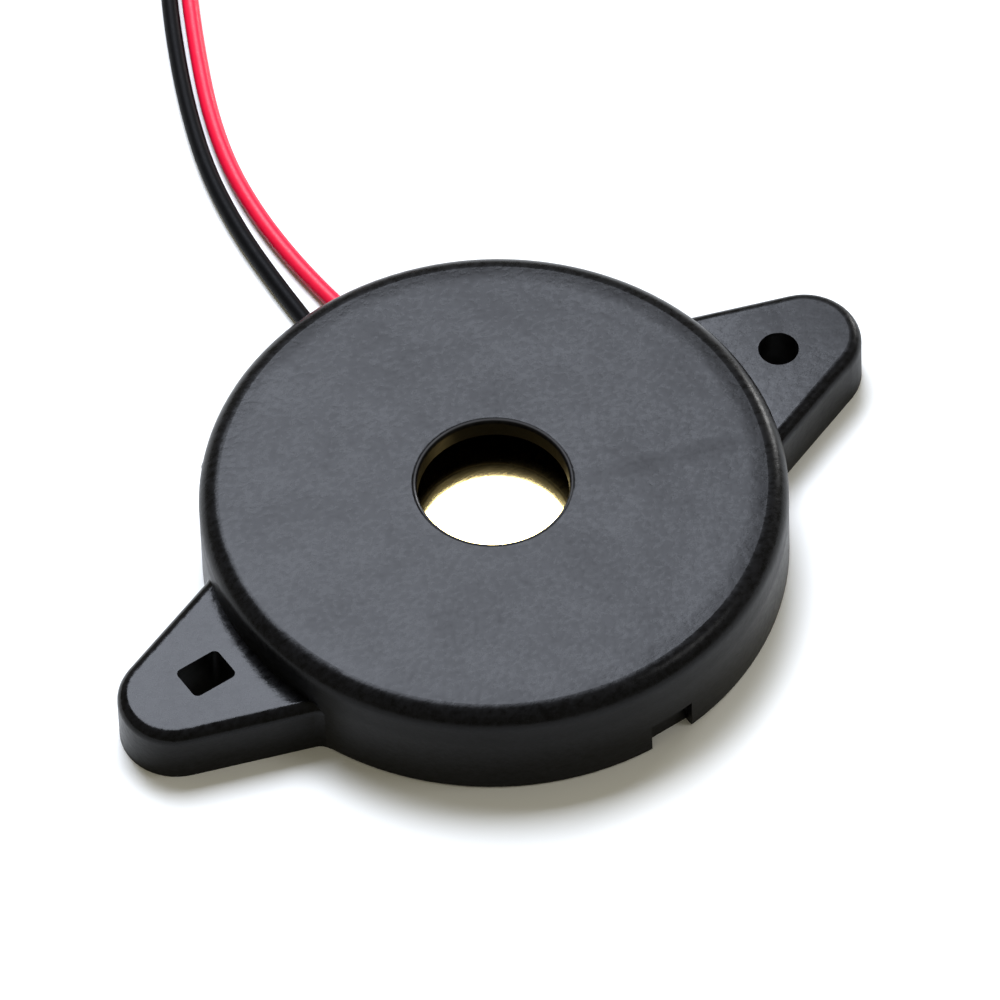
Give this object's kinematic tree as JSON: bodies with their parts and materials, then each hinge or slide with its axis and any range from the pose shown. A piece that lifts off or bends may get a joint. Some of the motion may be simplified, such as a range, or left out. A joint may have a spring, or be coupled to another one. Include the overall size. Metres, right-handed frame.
{
  "type": "piezo buzzer",
  "caption": "Enclosed piezo buzzer: round black case with a central sound hole over a brass sounding plate, side mounting lugs, and red and black flying leads.",
  "frame": {"origin": "middle of the round case, on the plane of its underside", "axes": "+X from the case's middle towards the lug with the round hole, +Y towards the notch where the leads leave, +Z out of the sound hole"},
  "size_m": [0.0456, 0.068, 0.0057],
  "materials": {
    "black_abs": "fine spark-eroded matt moulding",
    "brass": "rolled, bright",
    "ceramic": "fired lead zirconate titanate ceramic, matt",
    "silver": "fired silver, satin",
    "silicone": "cured silicone, semi-gloss",
    "solder": "bright solder",
    "tinned_copper": "tinned strands",
    "red_pvc": "satin PVC",
    "black_pvc": "satin PVC",
    "tie_nylon": "natural nylon"
  },
  "bodies": {
    "root": {"case": "black_abs", "brass_plate": "brass", "piezo_ceramic": "ceramic", "silver_electrode": "silver", "adhesive_ring": "silicone", "red_solder": "solder", "black_solder": "solder", "red_inner_end": "tinned_copper", "black_inner_end": "tinned_copper", "red_lead": "red_pvc", "red_coil": "red_pvc", "black_lead": "black_pvc", "black_coil": "black_pvc", "red_tip": "tinned_copper", "black_tip": "tinned_copper", "coil_tie": "tie_nylon"}
  },
  "joints": []
}
